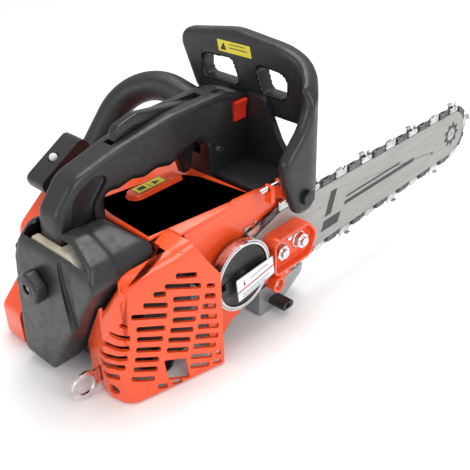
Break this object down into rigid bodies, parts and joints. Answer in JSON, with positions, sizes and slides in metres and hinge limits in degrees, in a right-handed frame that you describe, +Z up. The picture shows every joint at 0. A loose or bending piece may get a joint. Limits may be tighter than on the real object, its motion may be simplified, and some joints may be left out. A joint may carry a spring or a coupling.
{
  "type": "chainsaw",
  "caption": "Top-handle petrol chainsaw with moulded casings, a guide bar with a running chain, a hand guard, a side handle, a pull starter and its inner engine.",
  "frame": {"origin": "on the underside of the crankcase, straight below the crank axis", "axes": "+X to the bar side, +Y towards the tip of the bar, +Z up"},
  "size_m": [0.2202, 0.511, 0.2315],
  "materials": {
    "orange_plastic": "gloss moulded orange-red plastic",
    "black_plastic": "satin moulded black plastic",
    "handle_rubber": "dark soft-touch tube covering",
    "black_rubber": "moulded black rubber",
    "red_plastic": "gloss red switch plastic",
    "tank_plastic": "dark blow-moulded plastic",
    "bulb_rubber": "translucent bulb rubber",
    "filter_felt": "pale filter felt",
    "cast_alloy": "die-cast aluminium",
    "zinc_steel": "zinc-plated steel",
    "dark_steel": "oiled dark steel",
    "bright_steel": "machined steel",
    "cutter_chrome": "chromed cutter steel",
    "bar_paint": "satin grey bar finish",
    "rope_white": "braided white cord"
  },
  "bodies": {
    "engine": {"crankcase_left": "cast_alloy", "crankcase_right": "cast_alloy", "crank_bearings": "bright_steel", "ignition_coil": "dark_steel", "engine_cylinder": "cast_alloy", "spark_plug": "zinc_steel", "plug_boot": "black_rubber", "muffler": "dark_steel", "muffler_cover": "orange_plastic", "intake_manifold": "black_rubber", "carburettor": "cast_alloy", "filter_base": "black_plastic", "air_filter": "filter_felt", "filter_cover": "black_plastic", "top_cover": "orange_plastic", "top_handle": "black_plastic", "handle_base": "black_plastic", "guard_pivot": "zinc_steel", "brake_band": "bright_steel", "clutch_drum": "dark_steel", "drum_bearing": "bright_steel", "oil_pump": "black_plastic", "clutch_cover": "orange_plastic", "guide_bar": "bar_paint", "nose_sprocket": "dark_steel", "chain_drive_links": "dark_steel", "chain_side_links": "dark_steel", "chain_cutters": "cutter_chrome", "bar_studs": "zinc_steel", "bar_nuts": "zinc_steel", "chain_tensioner": "zinc_steel", "chain_catcher": "black_plastic", "side_handle": "handle_rubber", "starter_housing": "orange_plastic", "recoil_spring": "bright_steel", "starter_rope": "rope_white", "fuel_tank": "tank_plastic", "oil_tank": "tank_plastic", "lanyard_ring": "zinc_steel", "cover_screws": "zinc_steel"},
    "crank": {"crankshaft": "bright_steel", "flywheel": "cast_alloy", "clutch_hub": "dark_steel", "clutch_shoes": "dark_steel"},
    "piston_set": {"piston": "cast_alloy", "connecting_rod": "bright_steel"},
    "trigger": {"throttle_trigger": "black_plastic"},
    "lockout": {"trigger_lockout": "black_plastic"},
    "butterfly": {"throttle_butterfly": "bright_steel"},
    "switch": {"stop_switch": "red_plastic"},
    "guard": {"hand_guard": "black_plastic"},
    "link": {"brake_link": "zinc_steel"},
    "choke": {"choke_lever": "black_plastic"},
    "primer": {"primer_bulb": "bulb_rubber"},
    "knob": {"filter_knob": "black_plastic"},
    "fuel_lid": {"fuel_cap": "black_plastic"},
    "oil_lid": {"oil_cap": "black_plastic"},
    "grip": {"starter_grip": "black_plastic"},
    "pulley": {"starter_pulley": "black_plastic"}
  },
  "joints": [
    {"name": "crank_spin", "type": "hinge", "parent": "engine", "child": "crank", "pos_m": [0, 0, 0.07], "axis": [1, 0, 0], "continuous": true},
    {"name": "piston_slide", "type": "slide", "parent": "engine", "child": "piston_set", "axis": [0, -0.9659, 0.2588], "range_m": [-0.028, 0]},
    {"name": "trigger_pull", "type": "hinge", "parent": "engine", "child": "trigger", "pos_m": [0, 0.026, 0.162], "axis": [-1, 0, 0], "range_deg": [0, 16], "stiffness_Nm_per_rad": 0.35, "springref_deg": -17.19},
    {"name": "lockout_press", "type": "hinge", "parent": "engine", "child": "lockout", "pos_m": [0, 0.024, 0.1865], "axis": [1, 0, 0], "range_deg": [0, 5], "stiffness_Nm_per_rad": 0.5, "springref_deg": -17.19},
    {"name": "butterfly_turn", "type": "hinge", "parent": "engine", "child": "butterfly", "pos_m": [-0.046, -0.084, 0.087], "axis": [1, 0, 0], "range_deg": [0, 72]},
    {"name": "switch_rock", "type": "hinge", "parent": "engine", "child": "switch", "pos_m": [0.0125, 0.064, 0.173], "axis": [0, -1, 0], "range_deg": [0, 14]},
    {"name": "guard_tilt", "type": "hinge", "parent": "engine", "child": "guard", "pos_m": [0.086, 0.058, 0.122], "axis": [-1, 0, 0], "range_deg": [0, 20]},
    {"name": "link_slide", "type": "slide", "parent": "engine", "child": "link", "axis": [0, 1, 0], "range_m": [0, 0.0046]},
    {"name": "choke_turn", "type": "hinge", "parent": "engine", "child": "choke", "pos_m": [-0.0925, -0.095, 0.056], "axis": [1, 0, 0], "range_deg": [0, 60]},
    {"name": "primer_press", "type": "slide", "parent": "engine", "child": "primer", "axis": [1, 0, 0], "range_m": [0, 0.004], "stiffness_N_per_m": 800},
    {"name": "knob_turn", "type": "hinge", "parent": "engine", "child": "knob", "pos_m": [-0.008, -0.137, 0.093], "axis": [0, 1, 0], "continuous": true},
    {"name": "fuel_cap_turn", "type": "hinge", "parent": "engine", "child": "fuel_lid", "pos_m": [-0.088, -0.066, 0.026], "axis": [1, 0, 0], "continuous": true},
    {"name": "oil_cap_turn", "type": "hinge", "parent": "engine", "child": "oil_lid", "pos_m": [-0.088, 0.056, 0.034], "axis": [1, 0, 0], "continuous": true},
    {"name": "starter_pull", "type": "slide", "parent": "engine", "child": "grip", "axis": [0, -0.5, 0.866], "range_m": [0, 0.45], "stiffness_N_per_m": 10, "springref_m": -0.1, "deforming": ["starter_rope"]},
    {"name": "pulley_turn", "type": "hinge", "parent": "engine", "child": "pulley", "pos_m": [-0.0724, 0, 0.07], "axis": [-1, 0, 0], "range_deg": [0, 1180]}
  ],
  "couplings": [
    {"joint": "butterfly_turn", "follows": "trigger_pull", "ratio": 4.375},
    {"joint": "link_slide", "follows": "guard_tilt", "m_per_rad": 0.013},
    {"joint": "pulley_turn", "follows": "starter_pull", "rad_per_m": 45.455}
  ]
}
